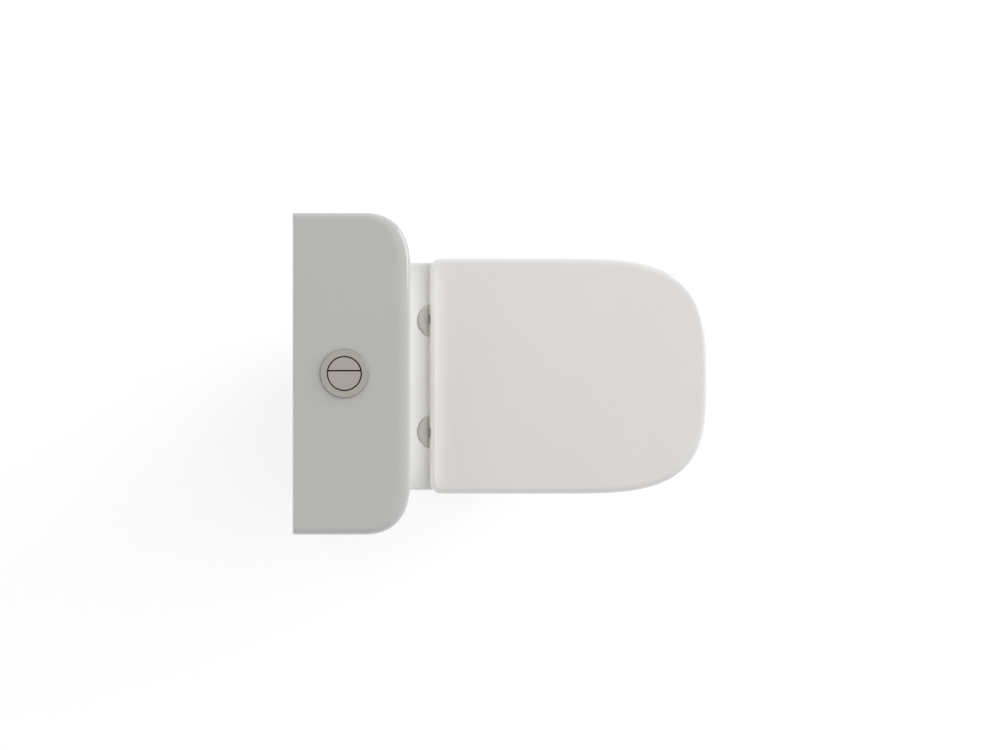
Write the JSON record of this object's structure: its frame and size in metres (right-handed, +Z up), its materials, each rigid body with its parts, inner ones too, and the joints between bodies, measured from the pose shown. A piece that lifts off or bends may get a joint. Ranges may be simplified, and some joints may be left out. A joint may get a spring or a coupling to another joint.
{
  "type": "close coupled toilet",
  "caption": "Close coupled floor toilet with dual flush cistern, lift-off cistern lid and wrap-over soft-close seat and lid.",
  "frame": {"origin": "on the floor, below the centre of the whole toilet's box, 320 mm in front of the wall", "axes": "+Z up; +Y to the wall, the way the outlet points; -Y to the front of the bowl; +X to the right of a person facing the toilet"},
  "size_m": [0.398, 0.64, 0.804],
  "materials": {
    "vitreous_china": "white glazed vitreous china",
    "seat_duroplast": "white gloss moulded duroplast",
    "satin_metal": "satin nickel plated metal",
    "button_metal": "satin nickel plated cap on ABS",
    "steel": "plain stainless steel",
    "brass": "turned brass",
    "rubber": "black rubber",
    "bumper_rubber": "soft white bumper rubber",
    "valve_plastic": "white moulded plastic",
    "hinge_plastic": "white moulded damper housing",
    "blue_plastic": "blue moulded plastic",
    "grey_nylon": "grey nylon",
    "white_caps": "white moulded caps"
  },
  "bodies": {
    "pan_and_cistern": {"pan_deck": "vitreous_china", "pan_bowl": "vitreous_china", "pan_sump": "vitreous_china", "pan_duct": "vitreous_china", "pan_trap": "vitreous_china", "pan_skirt": "vitreous_china", "floor_brackets": "grey_nylon", "side_screws": "steel", "screw_caps": "white_caps", "doughnut_seal": "rubber", "cistern": "vitreous_china", "cistern_bolts": "brass", "bolt_seals": "rubber", "bolt_washers": "brass", "wing_nuts": "brass", "flush_valve_base": "valve_plastic", "flush_valve_washer": "rubber", "flush_valve_nut": "grey_nylon", "flush_valve_tower": "valve_plastic", "flush_valve_head": "blue_plastic", "fill_valve_tail": "brass", "fill_valve_washer": "rubber", "fill_valve_nut": "grey_nylon", "fill_valve_column": "valve_plastic", "fill_valve_head": "grey_nylon", "lever_pin": "steel", "hinge_discs": "satin_metal", "hinge_posts": "steel", "hinge_studs": "steel", "hinge_plugs": "grey_nylon", "hinge_cones": "steel", "hinge_housings": "hinge_plastic", "hinge_spindles": "steel"},
    "lift_off_lid": {"cistern_lid": "vitreous_china", "button_housing": "satin_metal", "button_nut": "valve_plastic", "full_flush_spring": "steel", "half_flush_spring": "steel"},
    "full_flush": {"full_flush_button": "button_metal", "full_flush_rod": "grey_nylon"},
    "half_flush": {"half_flush_button": "button_metal", "half_flush_rod": "grey_nylon"},
    "flush_plunger": {"overflow_tube": "valve_plastic", "flush_seal": "rubber"},
    "float": {"fill_float": "valve_plastic", "float_link": "steel"},
    "float_lever": {"fill_valve_lever": "grey_nylon"},
    "ring": {"seat_ring": "seat_duroplast", "seat_bumpers": "bumper_rubber"},
    "lid": {"seat_lid": "seat_duroplast", "lid_bumpers": "bumper_rubber"}
  },
  "joints": [
    {"name": "ring_hinge", "type": "hinge", "parent": "pan_and_cistern", "child": "ring", "pos_m": [0, 0.092, 0.424], "axis": [1, 0, 0], "range_deg": [-97, 0]},
    {"name": "lid_hinge", "type": "hinge", "parent": "ring", "child": "lid", "pos_m": [0, 0.092, 0.424], "axis": [-1, 0, 0], "range_deg": [0, 97]},
    {"name": "cistern_lid_lift", "type": "slide", "parent": "pan_and_cistern", "child": "lift_off_lid", "axis": [0, 0, 1], "range_m": [0, 0.12]},
    {"name": "full_flush_press", "type": "slide", "parent": "lift_off_lid", "child": "full_flush", "axis": [0, 0, -1], "range_m": [0, 0.006], "stiffness_N_per_m": 800, "springref_m": -0.003, "deforming": ["full_flush_spring"]},
    {"name": "half_flush_press", "type": "slide", "parent": "lift_off_lid", "child": "half_flush", "axis": [0, 0, -1], "range_m": [0, 0.006], "stiffness_N_per_m": 800, "springref_m": -0.003, "deforming": ["half_flush_spring"]},
    {"name": "plunger_lift", "type": "slide", "parent": "pan_and_cistern", "child": "flush_plunger", "axis": [0, 0, 1], "range_m": [0, 0.0251]},
    {"name": "float_rise", "type": "slide", "parent": "pan_and_cistern", "child": "float", "axis": [0, 0, 1], "range_m": [0, 0.012]},
    {"name": "lever_turn", "type": "hinge", "parent": "pan_and_cistern", "child": "float_lever", "pos_m": [-0.15, 0.24, 0.658], "axis": [0, -1, 0], "range_deg": [0, 15.4]}
  ],
  "couplings": [
    {"joint": "plunger_lift", "follows": "full_flush_press", "ratio": 4.1667},
    {"joint": "lever_turn", "follows": "float_rise", "rad_per_m": 22.222}
  ]
}
